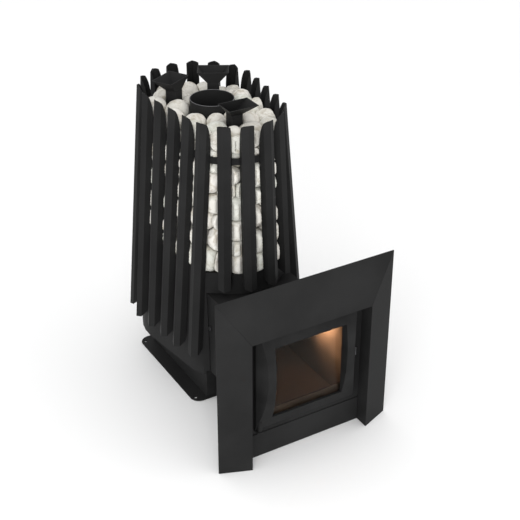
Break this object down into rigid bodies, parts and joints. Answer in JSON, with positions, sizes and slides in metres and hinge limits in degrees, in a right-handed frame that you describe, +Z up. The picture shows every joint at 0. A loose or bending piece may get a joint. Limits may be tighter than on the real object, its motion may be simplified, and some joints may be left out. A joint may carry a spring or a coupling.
{
  "type": "sauna stove",
  "caption": "Wood-fired sauna stove: slatted basket of stones round a flue, water funnels, and a fire tunnel to a mitred portal with a hinged glass fire door and an ash drawer.",
  "frame": {"origin": "On the floor plane under the flue stub's axis, on the underside of the base plate.", "axes": "+Z up; -Y is the front, towards the fire door and the portal; +X is to the right of a person in front of the stove."},
  "size_m": [0.521, 0.7883, 0.845],
  "materials": {
    "black_paint": "satin heat-resistant black paint",
    "dark_steel": "bare steel darkened by heat",
    "cast_iron": "raw casting",
    "stone": "tumbled, matt",
    "glass": "clear ceramic glass, browned by smoke",
    "rope_seal": "braided heat-proof rope"
  },
  "bodies": {
    "stove": {"base_plate": "black_paint", "pedestal": "black_paint", "ash_duct": "black_paint", "fire_tunnel": "black_paint", "tunnel_collar": "black_paint", "jacket": "black_paint", "upper_ring": "black_paint", "flue_stub": "black_paint", "slat_01": "black_paint", "slat_02": "black_paint", "slat_03": "black_paint", "slat_04": "black_paint", "slat_05": "black_paint", "slat_06": "black_paint", "slat_07": "black_paint", "slat_08": "black_paint", "slat_09": "black_paint", "slat_10": "black_paint", "slat_11": "black_paint", "slat_12": "black_paint", "slat_13": "black_paint", "slat_14": "black_paint", "slat_15": "black_paint", "slat_16": "black_paint", "slat_17": "black_paint", "slat_18": "black_paint", "slat_19": "black_paint", "slat_20": "black_paint", "slat_21": "black_paint", "steam_duct_front": "black_paint", "steam_duct_left": "black_paint", "steam_duct_right": "black_paint", "funnel_front": "black_paint", "funnel_left": "black_paint", "funnel_right": "black_paint", "portal_left_leg": "black_paint", "portal_right_leg": "black_paint", "portal_top_bar": "black_paint", "hinge_bracket_upper": "black_paint", "hinge_bracket_lower": "black_paint", "firebox_floor": "dark_steel", "firebox_wall": "dark_steel", "stone_shelf": "dark_steel", "heat_chamber": "dark_steel", "chamber_lid": "dark_steel", "baffle": "dark_steel", "tunnel_bolt_left": "dark_steel", "tunnel_bolt_right": "dark_steel", "hinge_pin_upper": "dark_steel", "hinge_pin_lower": "dark_steel", "door_catch": "dark_steel", "grate": "cast_iron", "stones_left": "stone", "stones_right": "stone"},
    "door": {"door_frame": "black_paint", "door_glass": "glass", "door_gasket": "rope_seal", "glass_retainer_top": "cast_iron", "glass_retainer_foot": "cast_iron"},
    "ash_drawer": {"ash_drawer": "black_paint"}
  },
  "joints": [
    {"name": "door_hinge", "type": "hinge", "parent": "stove", "child": "door", "pos_m": [-0.141, -0.486, 0.2375], "axis": [0, 0, -1], "range_deg": [0, 100]},
    {"name": "ash_drawer_slide", "type": "slide", "parent": "stove", "child": "ash_drawer", "axis": [0, -1, 0], "range_m": [0, 0.32]}
  ]
}
